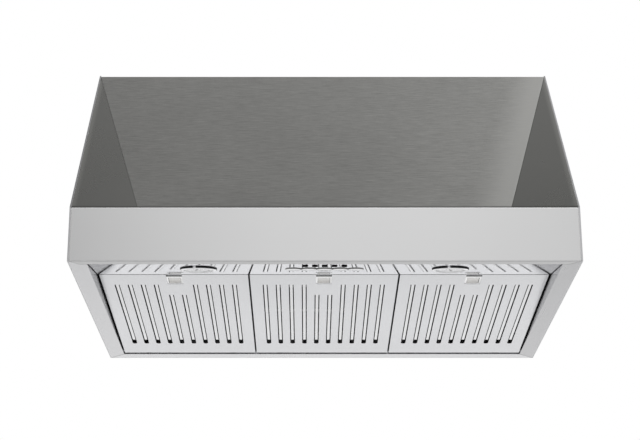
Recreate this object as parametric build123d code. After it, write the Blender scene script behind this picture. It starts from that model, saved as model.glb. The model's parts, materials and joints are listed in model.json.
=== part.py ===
from build123d import *
from math import atan2, cos, degrees, hypot, radians, sin, sqrt
import os

# Overall sizes in millimetres. X runs across, the wall is at Y = 0 and the front faces -Y.
hood_width = 914.0
hood_depth = 686.0
canopy_height = 498.0
band_height = 101.5
top_depth = 370.0

# Wall fixings. The origin is the centre of their rectangle, on the wall.
fixing_height = 320.0
fixing_spacing_x = 600.0
fixing_spacing_z = 200.0
fixing_hole_radius = 4.5
fixing_plate_width = 60.0
fixing_plate_margin = 30.0
fixing_plate_thickness = 3.0

# Stainless shell
shell_sheet = 1.5
hem_width = 10.0
side_rise = 3.0
bend_radius = 1.2

# Sloped front: the middle panel stands back at its foot, and a corner gusset closes each side
front_recess = 30.0
gusset_foot = 122.0
ledge_margin = 12.0

# Rim seen from below
rim_flange = 33.0
rim_wall_height = 62.0
rear_rim = 32.0
rear_rail_height = 28.0
front_lip = 18.0

# Control panel strip between the lip and the filters
strip_depth = 162.0
strip_end_gap = 1.6
strip_flange = 24.0

# Lights in the strip
light_spacing = 460.0
light_setback = 75.0
light_bezel_radius = 34.0
light_bezel_drop = 3.2
light_lens_radius = 26.5
light_lens_thickness = 2.0
light_neck_wall = 1.5
light_neck_height = 9.0
lamp_height = 30.0
lamp_cap_radius = 18.0
lamp_cap_height = 8.0

# Push buttons in the strip
button_count = 5
button_pitch = 17.6
button_size = 10.0
button_drop = 2.0
button_travel = 1.5
button_setback = 31.0
button_flange = 1.5
button_flange_height = 1.0
button_stem_radius = 2.0
button_stem_height = 8.0
button_clearance = 0.25
switch_block_margin = 3.0
switch_block_height = 20.0

# Bare label plate with round lobes, behind the buttons
lobe_pitch = 28.5
lobe_overlap = 0.4
lobe_setback = 75.5
lobe_drop = 1.6

# Control box on top of the strip
control_box_width = 280.0
control_box_front = 6.0
control_box_length = 130.0
control_box_height = 60.0
control_box_sheet = 1.0
board_width = 110.0
board_length = 60.0
board_thickness = 1.6
board_setback = 45.0
standoff_radius = 3.0
standoff_height = 14.0
standoff_inset = 5.0
terminal_width = 60.0
terminal_length = 18.0
terminal_height = 16.0
terminal_pitch = 10.0
terminal_screw_radius = 3.0
capacitor_radius = 17.0
capacitor_length = 56.0
capacitor_margin = 14.0
capacitor_setback = 70.0

# Filters
filter_count = 3
filter_gap = 3.4
filter_front_gap = 3.0
filter_rise = 26.0
filter_height = 16.0
filter_sheet = 1.0
hinge_gap = 14.0
slot_count = 10
slot_width = 9.6
slot_side_margin = 27.5
slot_front = 54.0
slot_rear = 414.0
short_slot_front = 111.0

# Baffle ribs that hang over the slots
rib_width = 5.4
rib_sheet = 0.8
rib_lift = 1.5
rib_height = 10.5
rib_lead = 6.0
rib_rear = 392.0
rib_short_lead = 4.0
bar_width = 12.0
bar_thickness = 1.2
bar_places = (88.0, 230.0, 378.0)

# Hinge rod and the hooks that hang on it
rod_radius = 2.5
rod_height = 7.0
hook_wall = 1.6
hook_leg = 3.0
hook_length = 12.0
hook_spread = 180.0
rod_bracket_clearance = 0.35
rod_bracket_front = 4.0
rod_bracket_below = 4.0
rod_bracket_above = 10.0
running_clearance = 0.05

# Filter latches
latch_window_width = 30.0
latch_window_front = 2.5
latch_window_rear = 52.0
latch_cover = 2.0
latch_mouth = 6.0
latch_tail = 6.0
latch_thickness = 2.0
latch_lift = 0.1
latch_travel = 6.0
latch_pocket_width = 20.0
latch_pocket_front = 10.0
latch_pocket_rear = 4.0
latch_pocket_depth = 1.2
latch_tongue_width = 16.0
latch_tongue_lift = 4.0
latch_nose = 1.0
latch_guide_wall = 2.0
latch_guide_lip = 1.5
latch_side_clearance = 0.2

# Duct collar on the top panel
duct_radius = 100.0
duct_to_wall = 135.0
collar_wall = 1.0
collar_height = 60.0
collar_flange_width = 18.0
collar_flange_thickness = 1.5
collar_bore_margin = 1.0

# Damper flaps in the collar
damper_height = 18.0
damper_pin_radius = 2.0
damper_pin_offset = 6.0
damper_knuckle_wall = 1.6
damper_knuckle_inset = 10.0
damper_flap_thickness = 1.0
damper_flap_clearance = 1.5
damper_ledge_width = 5.0
damper_ledge_thickness = 1.5
damper_rest_gap = 0.3

# Blower
blower_width = 150.0
blower_drop = 190.0
blower_sheet = 1.2
blower_flange = 15.0
blower_flange_thickness = 2.0
volute_radius = 128.0
volute_step = 18.0
inlet_radius = 80.0
inlet_lip = 6.0
wheel_radius = 105.0
wheel_blade_depth = 17.0
wheel_width = 130.0
wheel_ring = 2.0
wheel_disc = 2.0
blade_count = 36
blade_sweep = 8.0
blade_bow = 2.6
blade_thickness = 1.0
hub_radius = 14.0
hub_length = 22.0
shaft_radius = 6.0
shaft_grip = 38.0
shaft_nose = 4.0
motor_radius = 44.0
motor_length = 75.0
motor_gap = 1.0
motor_overhang = 12.0
motor_boss_radius = 16.0
motor_boss_height = 3.0
spider_arm_count = 3
spider_arm_width = 14.0
spider_arm_thickness = 2.0
spider_foot = 14.0
spider_band = 2.0

# Bolts that share the collar, the top panel and the blower's flange
bolt_radius = 3.0
bolt_hole_radius = 3.2
bolt_head_radius = 5.5
bolt_head_height = 4.0
bolt_nut_height = 5.0
screw_radius = 2.0
screw_head_radius = 4.0
screw_head_height = 2.0
screw_point = 6.0

# Bushing for the supply cable, in the top panel
bushing_side = 300.0
bushing_to_wall = 120.0
bushing_bore_radius = 10.0
bushing_wall = 3.0
bushing_flange_radius = 18.0
bushing_flange_height = 3.0
bushing_nut_height = 6.0
bushing_clearance = 0.1

# Places that follow from the sizes
x_out = hood_width / 2
x_side = x_out - shell_sheet
x_hem = x_side - shell_sheet
x_rim = x_out - rim_flange
x_fold = x_out - gusset_foot
y_front = -hood_depth
y_top = -top_depth
y_back = -shell_sheet
y_lip = y_front + front_lip
y_strip = y_front + strip_depth
y_foot = y_front + front_recess
y_filter_front = y_strip + filter_front_gap
y_filter_rear = -rear_rim - hinge_gap
y_rod = y_filter_rear + hinge_gap / 2
z_rim = -fixing_height
z_band = z_rim + band_height
z_top = z_rim + canopy_height
z_under_top = z_top - shell_sheet
z_side = z_top + side_rise
z_strip_rear = z_rim + filter_rise
z_rod = z_rim + rod_height

slope = (z_top - z_band) / (y_top - y_front)
panel_slope = atan2(z_top - z_band, y_top - y_foot)
facet_depth = shell_sheet / sin(panel_slope)

clear_width = 2 * x_rim
filter_width = (clear_width - (filter_count + 1) * filter_gap) / filter_count
filter_pitch = filter_width + filter_gap
filter_length = hypot(y_filter_rear - y_filter_front, filter_rise)
filter_tilt = atan2(filter_rise, y_filter_rear - y_filter_front)
slot_pitch = (filter_width - 2 * slot_side_margin) / (slot_count - 1)

collar_bore = duct_radius - collar_wall
outlet_corner = collar_bore - collar_bore_margin
outlet_depth = 2 * sqrt(outlet_corner ** 2 - (blower_width / 2) ** 2)
bolt_circle = duct_radius + collar_flange_width / 2
bolt_x = bolt_circle * (blower_width / 2) / outlet_corner
bolt_y = bolt_circle * (outlet_depth / 2) / outlet_corner
y_duct = -duct_to_wall
z_wheel = z_under_top - blower_drop
z_damper = z_top + damper_height

# Local frames: the strip's is on its lower face at the lip, the filters' at their rear lower edge
strip_tilt = atan2(z_strip_rear - z_rim - shell_sheet, y_strip - y_lip)
strip_plane = Plane(
    origin=(0, y_lip, z_rim + shell_sheet),
    x_dir=(1, 0, 0),
    z_dir=(0, -sin(strip_tilt), cos(strip_tilt)),
)
filter_plane = Plane(
    origin=(0, y_filter_rear, z_rim),
    x_dir=(1, 0, 0),
    z_dir=(0, sin(filter_tilt), cos(filter_tilt)),
)


def unit(start, end):
    """Direction from one point of an outline to the next."""
    length = hypot(end[0] - start[0], end[1] - start[1])
    return (end[0] - start[0]) / length, (end[1] - start[1]) / length


def bent(path, thickness):
    """Outline of a bent sheet: a path and its copy, moved to the left by the sheet's thickness."""
    moved = []
    for place, (u, v) in enumerate(path):
        runs = [unit(path[i], path[i + 1]) for i in (place - 1, place) if 0 <= i < len(path) - 1]
        before = (-runs[0][1], runs[0][0])
        after = (-runs[-1][1], runs[-1][0])
        scale = thickness / (1 + before[0] * after[0] + before[1] * after[1])
        moved.append((u + scale * (before[0] + after[0]), v + scale * (before[1] + after[1])))
    return path + moved[::-1]


def along_x(outline, start, end):
    """Solid with an outline in the depth and height plane."""
    face = Plane.YZ.offset(start) * make_face(Polyline(*outline, close=True))
    return extrude(face, amount=end - start, dir=(1, 0, 0))


def along_y(outline, start, end):
    """Solid with an outline in the width and height plane."""
    plane = Plane(origin=(0, start, 0), x_dir=(1, 0, 0), z_dir=(0, -1, 0))
    face = plane * make_face(Polyline(*outline, close=True))
    return extrude(face, amount=end - start, dir=(0, 1, 0))


def along_z(outline, start, end):
    """Solid with an outline in the width and depth plane."""
    face = Plane.XY.offset(start) * make_face(Polyline(*outline, close=True))
    return extrude(face, amount=end - start, dir=(0, 0, 1))


def block(x_range, y_range, z_range):
    """Rectangular solid between three pairs of limits."""
    size = [high - low for low, high in (x_range, y_range, z_range)]
    middle = [(high + low) / 2 for low, high in (x_range, y_range, z_range)]
    return Pos(*middle) * Box(*size)


def post(radius, x, y, z_range):
    """Upright cylinder."""
    low, high = z_range
    return Pos(x, y, (low + high) / 2) * Cylinder(radius, high - low)


def bar_x(radius, x_range, y, z):
    """Cylinder that lies across the hood."""
    low, high = x_range
    return Pos((low + high) / 2, y, z) * Rot(0, 90, 0) * Cylinder(radius, high - low)


def mirrored(solid):
    return mirror(solid, about=Plane.YZ)


def y_slope(z):
    """Front edge of the side panels at a height above the band."""
    return y_front + (z - z_band) / slope


# Shell

def side_hem():
    front_edge = [(y_slope(z_side), z_side), (y_front, z_band), (y_front, z_rim)]
    return along_x(bent(front_edge, hem_width), -x_side, -x_hem)


def side_panel():
    outline = [(0, z_rim), (y_front, z_rim), (y_front, z_band), (y_slope(z_side), z_side), (0, z_side)]
    return along_x(outline, -x_out, -x_side) + side_hem()


def front_band():
    path = [
        (y_foot + ledge_margin, z_band),
        (y_front, z_band),
        (y_front, z_rim),
        (y_lip, z_rim),
    ]
    band = along_x(bent(path, shell_sheet), -x_hem, x_hem)
    outer_bends = [
        edge
        for edge in band.edges().filter_by(Axis.X)
        if abs(edge.center().Y - y_front) < bend_radius / 2
    ]
    band = fillet(outer_bends, bend_radius)
    mitre = along_z(
        [(-x_hem, y_front), (-x_hem, y_lip), (-x_hem + front_lip, y_lip)],
        z_rim,
        z_rim + shell_sheet,
    )
    return band - mitre - mirrored(mitre)


def facet(corners):
    """Flat sheet of the sloped front, as deep along Y as the middle panel's sheet is."""
    face = Face(Wire.make_polygon([Vector(*corner) for corner in corners], close=True))
    return extrude(face, amount=facet_depth, dir=(0, 1, 0))


def sloped_front_panel():
    return facet([
        (-x_hem, y_top, z_top),
        (x_hem, y_top, z_top),
        (x_fold, y_foot, z_band),
        (-x_fold, y_foot, z_band),
    ])


def corner_gusset():
    return facet([
        (-x_hem, y_top, z_top),
        (-x_fold, y_foot, z_band),
        (-x_hem, y_front, z_band),
    ])


def bolt_places():
    return [(sx * bolt_x, y_duct + sy * bolt_y) for sx in (-1, 1) for sy in (-1, 1)]


def screw_places():
    across = [(side * bolt_circle, y_duct) for side in (-1, 1)]
    along = [(0, y_duct + side * bolt_circle) for side in (-1, 1)]
    return across + along


def top_panel():
    through = (z_under_top, z_top)
    panel = block((-x_side, x_side), (y_top + facet_depth, y_back), through)
    hem = side_hem()
    panel = panel - hem - mirrored(hem) - post(outlet_corner, 0, y_duct, through)
    for x, y in bolt_places():
        panel -= post(bolt_hole_radius, x, y, through)
    for x, y in screw_places():
        panel -= post(screw_radius, x, y, through)
    return panel - post(bushing_bore_radius + bushing_wall, -bushing_side, -bushing_to_wall, through)


def fixing_places():
    return [
        (sx * fixing_spacing_x / 2, sz * fixing_spacing_z / 2)
        for sx in (-1, 1)
        for sz in (-1, 1)
    ]


def fixing_holes():
    depth = shell_sheet + fixing_plate_thickness
    return [
        Pos(x, -depth / 2, z) * Rot(90, 0, 0) * Cylinder(fixing_hole_radius, depth)
        for x, z in fixing_places()
    ]


def back_panel():
    panel = block((-x_side, x_side), (y_back, 0), (z_rim, z_top))
    return panel - fixing_holes()


def wall_fixing_plates():
    half_height = fixing_spacing_z / 2 + fixing_plate_margin
    plates = []
    for side in (-1, 1):
        middle = side * fixing_spacing_x / 2
        plate = block(
            (middle - fixing_plate_width / 2, middle + fixing_plate_width / 2),
            (y_back - fixing_plate_thickness, y_back),
            (-half_height, half_height),
        )
        plates.append(plate - fixing_holes())
    return Compound(children=plates)


def rim_rail():
    flange = along_z(
        [
            (-x_hem, y_front),
            (-x_hem + front_lip, y_lip),
            (-x_rim, y_lip),
            (-x_rim, -rear_rim),
            (-x_side, y_back),
            (-x_side, y_front + hem_width),
            (-x_hem, y_front + hem_width),
        ],
        z_rim,
        z_rim + shell_sheet,
    )
    wall = block(
        (-x_rim - shell_sheet, -x_rim),
        (y_lip, -rear_rim),
        (z_rim + shell_sheet, z_rim + rim_wall_height),
    )
    roof = block(
        (-x_side, -x_rim),
        (y_lip, -rear_rim),
        (z_rim + rim_wall_height - shell_sheet, z_rim + rim_wall_height),
    )
    rod_hole = bar_x(rod_radius, (-x_side, -x_rim), y_rod, z_rod)
    return flange + wall + roof - rod_hole


def rear_rim_rail():
    flange = along_z(
        [(-x_side, y_back), (-x_rim, -rear_rim), (x_rim, -rear_rim), (x_side, y_back)],
        z_rim,
        z_rim + shell_sheet,
    )
    path = [(-rear_rim, z_rim + shell_sheet), (-rear_rim, z_rim + rear_rail_height), (y_back, z_rim + rear_rail_height)]
    upper = along_x(bent(path[::-1], shell_sheet), -x_side, x_side)
    return flange + upper


# Strip with its lights, buttons and control box

def control_panel():
    path = [
        (y_front + shell_sheet, z_rim + shell_sheet),
        (y_lip, z_rim + shell_sheet),
        (y_strip, z_strip_rear),
        (y_strip, z_strip_rear + strip_flange),
    ]
    half = x_rim - strip_end_gap
    panel = along_x(bent(path, shell_sheet), -half, half)
    through = (-shell_sheet, 2 * shell_sheet)
    cuts = [post(light_neck_radius(), x, light_setback, through) for x in light_places()]
    opening = button_size / 2 + button_clearance
    for x in button_places():
        cuts.append(block(
            (x - opening, x + opening),
            (button_setback - opening, button_setback + opening),
            through,
        ))
    return panel - [strip_plane * cut for cut in cuts]


def light_places():
    return -light_spacing / 2, light_spacing / 2


def light_neck_radius():
    return light_lens_radius + light_neck_wall


def light_bezel(x):
    ring = post(light_bezel_radius, x, light_setback, (-light_bezel_drop, 0))
    ring = fillet(ring.edges().sort_by(Axis.Z)[0], light_bezel_drop / 2)
    neck = post(light_neck_radius(), x, light_setback, (0, light_neck_height))
    bore = post(light_lens_radius, x, light_setback, (-light_bezel_drop, light_neck_height))
    return strip_plane * (ring + neck - bore)


def light_lens(x):
    top = light_lens_thickness - light_bezel_drop
    return strip_plane * post(light_lens_radius, x, light_setback, (-light_bezel_drop, top))


def lamp_housings():
    bottom = light_lens_thickness - light_bezel_drop
    housings = []
    for x in light_places():
        can = post(light_lens_radius, x, light_setback, (bottom, lamp_height))
        cap = post(lamp_cap_radius, x, light_setback, (lamp_height, lamp_height + lamp_cap_height))
        housings.append(strip_plane * (can + cap))
    return Compound(children=housings)


def button_places():
    first = -button_pitch * (button_count - 1) / 2
    return [first + i * button_pitch for i in range(button_count)]


def square(half, x, y, z_range):
    return block((x - half, x + half), (y - half, y + half), z_range)


def push_button(x):
    seat = shell_sheet + running_clearance
    flange_top = seat + button_flange_height
    cap = square(button_size / 2, x, button_setback, (-button_drop, seat))
    flange = square(button_size / 2 + button_flange, x, button_setback, (seat, flange_top))
    stem = post(button_stem_radius, x, button_setback, (flange_top, flange_top + button_stem_height))
    return strip_plane * (cap + flange + stem)


def switch_block():
    cavity_half = button_size / 2 + button_flange + button_clearance
    cavity_top = shell_sheet + button_flange_height + button_travel + button_clearance
    bore_top = cavity_top + button_stem_height
    half_x = button_pitch * (button_count - 1) / 2 + cavity_half + switch_block_margin
    half_y = cavity_half + switch_block_margin
    body = block(
        (-half_x, half_x),
        (button_setback - half_y, button_setback + half_y),
        (shell_sheet, shell_sheet + switch_block_height),
    )
    for x in button_places():
        body -= square(cavity_half, x, button_setback, (shell_sheet, cavity_top))
        body -= post(button_stem_radius + running_clearance, x, button_setback, (cavity_top, bore_top))
    return strip_plane * body


def label_plate():
    radius = lobe_pitch / 2 + lobe_overlap
    places = [(i - (button_count - 1) / 2) * lobe_pitch for i in range(button_count)]
    lobes = [post(radius, x, lobe_setback, (-lobe_drop, 0)) for x in places]
    plate = lobes[0] + lobes[1:]
    return strip_plane * plate


def board_corners():
    half = board_width / 2 - standoff_inset
    near = board_setback + standoff_inset
    far = board_setback + board_length - standoff_inset
    return [(x, y) for x in (-half, half) for y in (near, far)]


def control_box():
    half = control_box_width / 2
    rear = control_box_front + control_box_length
    top = shell_sheet + control_box_height
    outer = block((-half, half), (control_box_front, rear), (shell_sheet, top))
    inner = block(
        (-half + control_box_sheet, half - control_box_sheet),
        (control_box_front + control_box_sheet, rear - control_box_sheet),
        (shell_sheet, top - control_box_sheet),
    )
    box = outer - inner
    roof = top - control_box_sheet
    for x, y in board_corners():
        box += post(standoff_radius, x, y, (roof - standoff_height, roof))
    return strip_plane * box


def control_board():
    top = shell_sheet + control_box_height - control_box_sheet - standoff_height
    return strip_plane * block(
        (-board_width / 2, board_width / 2),
        (board_setback, board_setback + board_length),
        (top - board_thickness, top),
    )


def terminal_block():
    rear = control_box_front + control_box_length - control_box_sheet
    top = shell_sheet + control_box_height - control_box_sheet
    body = block(
        (-terminal_width / 2, terminal_width / 2),
        (rear - terminal_length, rear),
        (top - terminal_height, top),
    )
    low = top - terminal_height
    count = int(terminal_width // terminal_pitch)
    for i in range(count):
        x = (i - (count - 1) / 2) * terminal_pitch
        body -= post(terminal_screw_radius, x, rear - terminal_length / 2, (low, low + terminal_screw_radius))
    return strip_plane * body


def capacitor():
    top = shell_sheet + control_box_height - control_box_sheet - running_clearance
    end = control_box_width / 2 - capacitor_margin
    span = (end - capacitor_length, end)
    return strip_plane * bar_x(capacitor_radius, span, capacitor_setback, top - capacitor_radius)


# Filters, drawn in their own frame with the front edge at minus their length

def slot_places():
    first = -slot_pitch * (slot_count - 1) / 2
    return [first + i * slot_pitch for i in range(slot_count)]


def behind_latch(x):
    """The slots in line with the latch start further back."""
    return abs(x) < latch_window_width / 2 + slot_width / 2


def filter_slot(x, front):
    rear = slot_rear - slot_width / 2
    through = (0, filter_sheet)
    run = block(
        (x - slot_width / 2, x + slot_width / 2),
        (front - filter_length, rear - filter_length),
        through,
    )
    return run + post(slot_width / 2, x, rear - filter_length, through)


def tongue_z():
    low = filter_sheet + latch_lift + latch_tongue_lift
    return low, low + latch_thickness


def filter_hook(x):
    """Hook that hangs on the hinge rod, with its mouth down."""
    rod = filter_plane.to_local_coords(Vector(0, y_rod, z_rod))
    inner = rod_radius + running_clearance
    outer = inner + hook_wall
    hook = bar_x(outer, (x, x + hook_length), rod.Y, rod.Z)
    hook += block((x, x + hook_length), (rod.Y - outer, rod.Y + outer), (rod.Z - hook_leg, rod.Z))
    hook += block((x, x + hook_length), (0, rod.Y), (rod.Z - hook_leg, rod.Z))
    hook -= bar_x(inner, (x, x + hook_length), rod.Y, rod.Z)
    return hook - block((x, x + hook_length), (rod.Y - inner, rod.Y + inner), (rod.Z - hook_leg, rod.Z))


def filter_face(middle):
    half = filter_width / 2
    outer = block((-half, half), (-filter_length, 0), (0, filter_height))
    inner = block(
        (filter_sheet - half, half - filter_sheet),
        (filter_sheet - filter_length, -filter_sheet),
        (filter_sheet, filter_height),
    )
    window = block(
        (-latch_window_width / 2, latch_window_width / 2),
        (latch_window_front - filter_length, latch_window_rear - filter_length),
        (0, filter_sheet),
    )
    tongue_low, tongue_high = tongue_z()
    tongue_half = latch_tongue_width / 2 + latch_side_clearance
    tongue_slot = block(
        (-tongue_half, tongue_half),
        (-filter_length, filter_sheet - filter_length),
        (tongue_low - latch_side_clearance, tongue_high + latch_side_clearance),
    )
    slots = [filter_slot(x, short_slot_front if behind_latch(x) else slot_front) for x in slot_places()]
    pan = outer - inner - window - tongue_slot - slots
    for side in (-1, 1):
        pan += filter_hook(side * hook_spread / 2 - hook_length / 2)
    return Pos(middle, 0, 0) * filter_plane * pan


def filter_baffles(middle):
    """Ribs that hang over the slots, and the bars across their tops that carry them."""
    half = filter_width / 2 - filter_sheet
    bar_bottom = rib_lift + rib_height
    pieces = []
    for place in bar_places:
        pieces.append(block(
            (-half, half),
            (place - filter_length, place + bar_width - filter_length),
            (bar_bottom, bar_bottom + bar_thickness),
        ))
    for x in slot_places():
        path = [
            (x - rib_width / 2, bar_bottom),
            (x - rib_width / 2, rib_lift),
            (x + rib_width / 2, rib_lift),
            (x + rib_width / 2, bar_bottom),
        ]
        front = short_slot_front - rib_short_lead if behind_latch(x) else slot_front - rib_lead
        pieces.append(along_y(bent(path, rib_sheet), front - filter_length, rib_rear - filter_length))
    return Compound(children=[Pos(middle, 0, 0) * filter_plane * piece for piece in pieces])


def latch_guide(middle):
    plate_half = latch_window_width / 2 + latch_cover
    inner = plate_half + latch_side_clearance
    outer = inner + latch_guide_wall
    lip_low = filter_sheet + latch_lift + latch_thickness + latch_side_clearance
    lip_high = lip_low + latch_guide_wall
    front = latch_window_front
    rear = latch_window_rear + latch_tail + latch_travel + latch_side_clearance
    cross = (rear - filter_length, rear + latch_guide_wall - filter_length)
    rail_y = (front - filter_length, rear + latch_guide_wall - filter_length)
    guide = block((-outer, outer), cross, (filter_sheet, lip_high))
    for side in (-1, 1):
        wall = sorted((side * inner, side * outer))
        lip = sorted((side * (plate_half - latch_guide_lip), side * outer))
        guide += block(wall, rail_y, (filter_sheet, lip_high))
        guide += block(lip, rail_y, (lip_low, lip_high))
    return Pos(middle, 0, 0) * filter_plane * guide


def latch_slider(middle):
    half = latch_window_width / 2 + latch_cover
    low = filter_sheet + latch_lift
    front = latch_window_front + latch_mouth
    rear = latch_window_rear + latch_tail
    tongue_low, tongue_high = tongue_z()
    plate = block((-half, half), (front - filter_length, rear - filter_length), (low, low + latch_thickness))
    pocket = block(
        (-latch_pocket_width / 2, latch_pocket_width / 2),
        (front + latch_pocket_front - filter_length, latch_window_rear - latch_pocket_rear - filter_length),
        (low, low + latch_pocket_depth),
    )
    tongue_half = latch_tongue_width / 2
    riser = block(
        (-tongue_half, tongue_half),
        (front - filter_length, front + latch_thickness - filter_length),
        (low, tongue_high),
    )
    tongue = block(
        (-tongue_half, tongue_half),
        (-latch_nose - filter_length, front - filter_length),
        (tongue_low, tongue_high),
    )
    return Pos(middle, 0, 0) * filter_plane * (plate - pocket + riser + tongue)


def filter_places():
    return [(i - (filter_count - 1) / 2) * filter_pitch for i in range(filter_count)]


def filter_hinge_rod():
    reach = x_rim + shell_sheet
    return bar_x(rod_radius, (-reach, reach), y_rod, z_rod)


def hinge_rod_brackets():
    brackets = []
    for i in range(filter_count - 1):
        middle = (filter_places()[i] + filter_places()[i + 1]) / 2
        half = filter_gap / 2 - rod_bracket_clearance
        span = (middle - half, middle + half)
        plate = block(
            span,
            (y_rod - rod_bracket_front, -rear_rim),
            (z_rod - rod_bracket_below, z_rod + rod_bracket_above),
        )
        brackets.append(plate - bar_x(rod_radius, span, y_rod, z_rod))
    return Compound(children=brackets)


# Duct collar, damper and cable bushing

def damper_pins():
    reach = duct_radius
    return Compound(children=[
        bar_x(damper_pin_radius, (-reach, reach), y_duct + side * damper_pin_offset, z_damper)
        for side in (-1, 1)
    ])


def duct_collar():
    """Round tube that stands on its flange, with the ledge on which the damper flaps rest."""
    wall = (z_top + collar_flange_thickness, z_top + collar_height)
    ledge_top = z_damper - damper_flap_thickness / 2 - damper_rest_gap
    ledge = (ledge_top - damper_ledge_thickness, ledge_top)
    collar = post(duct_radius, 0, y_duct, wall) - post(collar_bore, 0, y_duct, wall)
    ring = post(collar_bore + collar_wall / 2, 0, y_duct, ledge)
    collar += ring - post(collar_bore - damper_ledge_width, 0, y_duct, ledge)
    for pin in damper_pins().children:
        collar -= pin
    return collar


def collar_flange():
    foot = (z_top, z_top + collar_flange_thickness)
    flange = post(duct_radius + collar_flange_width, 0, y_duct, foot)
    flange -= post(collar_bore, 0, y_duct, foot)
    for x, y in bolt_places():
        flange -= post(bolt_hole_radius, x, y, foot)
    for x, y in screw_places():
        flange -= post(screw_radius, x, y, foot)
    return flange


def damper_flap(side):
    """Half disc hung on one pin: side is -1 for the front flap and 1 for the rear one."""
    y_pin = y_duct + side * damper_pin_offset
    bore = damper_pin_radius + running_clearance
    radius = collar_bore - damper_flap_clearance
    half = damper_flap_thickness / 2
    disc = post(radius, 0, y_duct, (z_damper - half, z_damper + half))
    keep_y = sorted((y_pin + side * bore, y_duct + side * radius))
    flap = disc & block((-radius, radius), keep_y, (z_damper - half, z_damper + half))
    reach = radius - damper_knuckle_inset
    flap += bar_x(bore + damper_knuckle_wall, (-reach, reach), y_pin, z_damper)
    return flap - bar_x(bore, (-radius, radius), y_pin, z_damper)


def bolts():
    head_low = z_top + collar_flange_thickness
    nut_top = z_under_top - blower_flange_thickness
    pieces = []
    for x, y in bolt_places():
        shank = post(bolt_radius, x, y, (nut_top - bolt_nut_height, head_low))
        head = post(bolt_head_radius, x, y, (head_low, head_low + bolt_head_height))
        nut = post(bolt_head_radius, x, y, (nut_top - bolt_nut_height, nut_top))
        pieces.append(shank + head + nut)
    return Compound(children=pieces)


def collar_screws():
    head_low = z_top + collar_flange_thickness
    pieces = []
    for x, y in screw_places():
        shank = post(screw_radius, x, y, (z_under_top - screw_point, head_low))
        head = post(screw_head_radius, x, y, (head_low, head_low + screw_head_height))
        pieces.append(shank + head)
    return Compound(children=pieces)


def cable_bushing():
    outer = bushing_bore_radius + bushing_wall - bushing_clearance
    top = z_top + bushing_flange_height
    bottom = z_under_top - bushing_nut_height
    body = post(outer, -bushing_side, -bushing_to_wall, (bottom, top))
    body += post(bushing_flange_radius, -bushing_side, -bushing_to_wall, (z_top, top))
    body += post(bushing_flange_radius, -bushing_side, -bushing_to_wall, (bottom, z_under_top))
    return body - post(bushing_bore_radius, -bushing_side, -bushing_to_wall, (bottom, top))


# Blower: arcs of growing radius round the wheel, then straight up to the top panel

volute_outer_radius = volute_radius + 2 * volute_step
y_outlet_rear = y_duct + outlet_depth / 2
y_outlet_front = y_duct - outlet_depth / 2
y_wheel = y_outlet_rear - volute_step / 2 - volute_outer_radius
blower_half = blower_width / 2


def volute(grow):
    """Outline of the blower, grown by the thickness of its wall, as a face at X = 0."""
    near = -volute_step / 2
    far = volute_step / 2
    wall_front = y_outlet_front - grow
    wall_rear = y_outlet_rear + grow
    first_radius = volute_radius + grow
    reach = wall_front - y_wheel - near
    start = degrees(atan2(sqrt(first_radius ** 2 - reach ** 2), reach))
    cutoff = z_wheel + near + first_radius * sin(radians(start))
    first = CenterArc((y_wheel + near, z_wheel + near), first_radius, start, 180 - start)
    second = CenterArc((y_wheel + far, z_wheel + near), first_radius + volute_step, 180, 90)
    third = CenterArc((y_wheel + far, z_wheel + far), first_radius + 2 * volute_step, 270, 90)
    outlet = Polyline(
        (wall_rear, z_wheel + far),
        (wall_rear, z_under_top),
        (wall_front, z_under_top),
        (wall_front, cutoff),
    )
    return Plane.YZ * make_face([first, second, third, outlet])


def swept_x(face, start, end):
    return extrude(Pos(start, 0, 0) * face, amount=end - start, dir=(1, 0, 0))


def blower_scroll():
    wall = volute(blower_sheet) - volute(0)
    scroll = swept_x(wall, -blower_half, blower_half)
    inner_x = blower_half + blower_sheet
    inner_y = outlet_depth / 2 + blower_sheet
    flange_z = (z_under_top - blower_flange_thickness, z_under_top)
    flange = block(
        (-inner_x - blower_flange, inner_x + blower_flange),
        (y_duct - inner_y - blower_flange, y_duct + inner_y + blower_flange),
        flange_z,
    )
    flange -= block((-inner_x, inner_x), (y_duct - inner_y, y_duct + inner_y), flange_z)
    for x, y in bolt_places():
        flange -= post(bolt_hole_radius, x, y, flange_z)
    return scroll + flange


def blower_side(side):
    """Side plate with its inlet and the inlet's rolled lip."""
    inner = side * blower_half
    outer = side * (blower_half + blower_sheet)
    lip_end = side * (blower_half - inlet_lip)
    plate = swept_x(volute(blower_sheet), *sorted((inner, outer)))
    lip = bar_x(inlet_radius + blower_sheet, sorted((outer, lip_end)), y_wheel, z_wheel)
    return plate + lip - bar_x(inlet_radius, sorted((outer, lip_end)), y_wheel, z_wheel)


def blade(angle):
    """Forward curved blade as a crescent between two arcs."""
    inner = wheel_radius - wheel_blade_depth
    start = Vector(inner, 0)
    end = Vector(wheel_radius, 0).rotate(Axis.Z, degrees(blade_sweep / wheel_radius))
    middle = (start + end) * 0.5
    across = Vector(end.Y - start.Y, start.X - end.X).normalized()
    hollow = ThreePointArc(start, middle + across * blade_bow, end)
    back = ThreePointArc(end, middle + across * (blade_bow + blade_thickness), start)
    return Rot(0, 0, angle) * make_face([hollow, back])


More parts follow.
